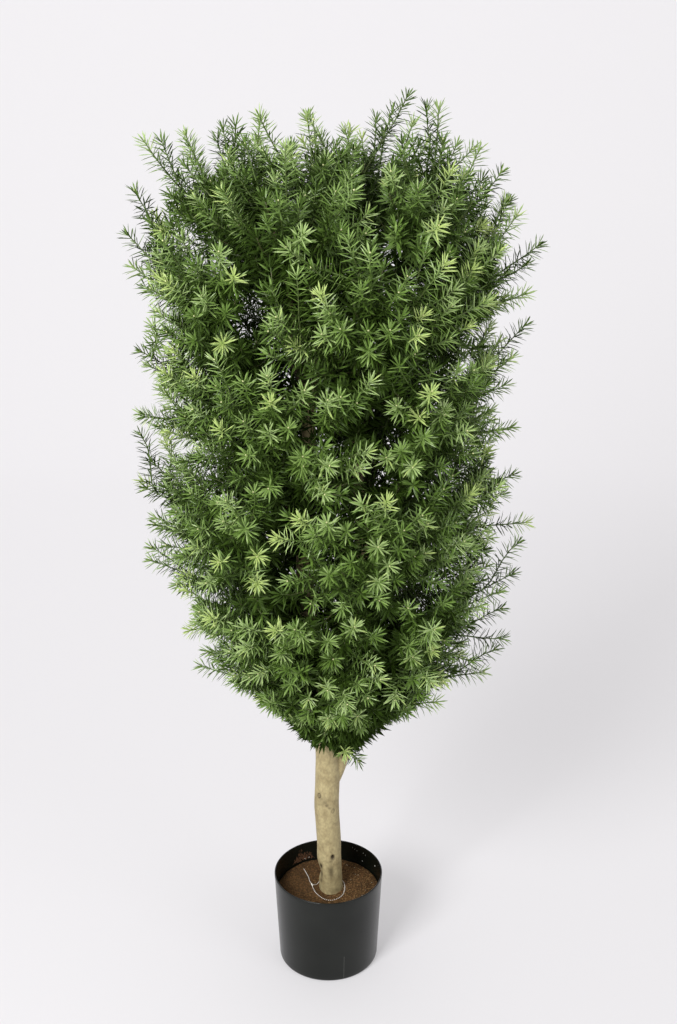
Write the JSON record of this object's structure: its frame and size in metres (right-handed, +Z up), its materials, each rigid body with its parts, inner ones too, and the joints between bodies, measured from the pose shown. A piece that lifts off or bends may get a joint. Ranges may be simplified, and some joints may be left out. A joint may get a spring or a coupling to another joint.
{
  "type": "artificial potted yew tree",
  "caption": "Artificial yew tree in a plain black pot: a forked natural wood trunk carries boughs and dense sprays of flat green needles in a tall, flat-topped column.",
  "frame": {"origin": "centre of the pot's flat underside, on the floor", "axes": "+Z up along the pot's axis to the top of the tree, -Y the front, +X the side that the fork leans to"},
  "size_m": [0.6341, 0.5758, 1.5],
  "materials": {
    "pot": "satin moulded black plastic",
    "filling": "cement with reddish-brown granulate on top",
    "wood": "smooth dry bark, pale olive tan",
    "bough": "moulded dark brown plastic",
    "needles": "soft moulded green needles",
    "string": "thin white beaded string"
  },
  "bodies": {
    "root": {"pot": "pot", "pot_filling": "filling", "string_loop": "string", "trunk": "wood", "fork_stem": "wood", "bough_skirt_1": "bough", "foliage_skirt_1": "needles", "bough_skirt_2": "bough", "foliage_skirt_2": "needles", "bough_skirt_3": "bough", "foliage_skirt_3": "needles", "bough_skirt_4": "bough", "foliage_skirt_4": "needles", "bough_low_1": "bough", "foliage_low_1": "needles", "bough_low_2": "bough", "foliage_low_2": "needles", "bough_low_3": "bough", "foliage_low_3": "needles", "bough_low_4": "bough", "foliage_low_4": "needles", "bough_middle_1": "bough", "foliage_middle_1": "needles", "bough_middle_2": "bough", "foliage_middle_2": "needles", "bough_middle_3": "bough", "foliage_middle_3": "needles", "bough_middle_4": "bough", "foliage_middle_4": "needles", "bough_upper_1": "bough", "foliage_upper_1": "needles", "bough_upper_2": "bough", "foliage_upper_2": "needles", "bough_upper_3": "bough", "foliage_upper_3": "needles", "bough_upper_4": "bough", "foliage_upper_4": "needles", "bough_shoulder_1": "bough", "foliage_shoulder_1": "needles", "bough_shoulder_2": "bough", "foliage_shoulder_2": "needles", "bough_shoulder_3": "bough", "foliage_shoulder_3": "needles", "bough_shoulder_4": "bough", "foliage_shoulder_4": "needles", "bough_crest_1": "bough", "foliage_crest_1": "needles", "bough_crest_2": "bough", "foliage_crest_2": "needles", "bough_crest_3": "bough", "foliage_crest_3": "needles", "bough_crest_4": "bough", "foliage_crest_4": "needles", "foliage_top": "needles"}
  },
  "joints": []
}
